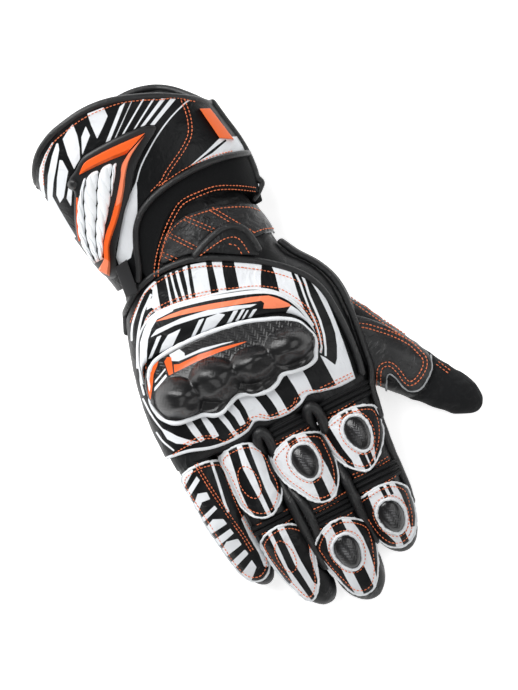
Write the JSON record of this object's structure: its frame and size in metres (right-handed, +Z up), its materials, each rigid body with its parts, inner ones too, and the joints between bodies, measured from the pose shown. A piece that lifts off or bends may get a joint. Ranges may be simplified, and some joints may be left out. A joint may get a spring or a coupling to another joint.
{
  "type": "motorcycle racing glove",
  "caption": "Right-hand racing glove with a long gauntlet cuff, domed hard knuckle guard, padded finger overlays with hard sliders and a wrist strap; hollow from cuff to fingertips.",
  "frame": {"origin": "bottom centre of the bounding box, on the surface that the glove lies on", "axes": "+X towards the thumb side, +Y from the fingertips to the cuff, +Z up out of the back of the hand"},
  "size_m": [0.1734, 0.3178, 0.075],
  "materials": {
    "leather_black": "semi-gloss grained leather",
    "suede_black": "matte suede-like leather",
    "leather_print": "white leather printed with black stripes",
    "stretch_fabric": "matte stretch fabric",
    "carbon": "lacquered carbon twill",
    "moulded_black": "satin moulded rubber",
    "moulded_orange": "satin moulded rubber",
    "moulded_white": "satin moulded rubber",
    "tag_orange": "satin woven tag",
    "tag_black": "woven tag"
  },
  "bodies": {
    "root": {"hand_shell": "leather_black", "index_finger": "leather_black", "middle_finger": "leather_black", "ring_finger": "leather_black", "little_finger": "leather_black", "thumb": "suede_black", "gauntlet_back": "leather_print", "gauntlet_palm": "leather_black", "stretch_panel": "stretch_fabric", "arch_welt": "leather_black", "back_binding": "leather_black", "palm_binding": "leather_black", "side_binding": "leather_black", "guard_base": "moulded_black", "guard_top_bar": "moulded_orange", "guard_side_bar": "moulded_orange", "guard_roll_1": "moulded_white", "guard_roll_2": "moulded_white", "guard_roll_3": "moulded_white", "guard_roll_4": "moulded_white", "side_tag": "tag_orange", "wrist_tag": "tag_black", "wrist_strap": "leather_black", "strap_tab": "leather_black", "back_panel": "leather_print", "panel_welt": "leather_black", "side_welt": "leather_black", "knuckle_guard": "carbon", "knuckle_pad": "leather_print", "index_armour_base": "leather_print", "index_slider_base": "carbon", "index_armour_tip": "leather_print", "index_slider_tip": "carbon", "middle_armour_base": "leather_print", "middle_slider_base": "carbon", "middle_armour_tip": "leather_print", "middle_slider_tip": "carbon", "ring_armour_base": "leather_print", "ring_armour_tip": "leather_print", "little_panel": "leather_print", "index_ribs_base": "leather_black", "index_ribs_middle": "leather_black", "middle_ribs_base": "leather_black", "middle_ribs_middle": "leather_black", "ring_ribs_middle": "leather_black", "thumb_patch": "leather_black"}
  },
  "joints": []
}
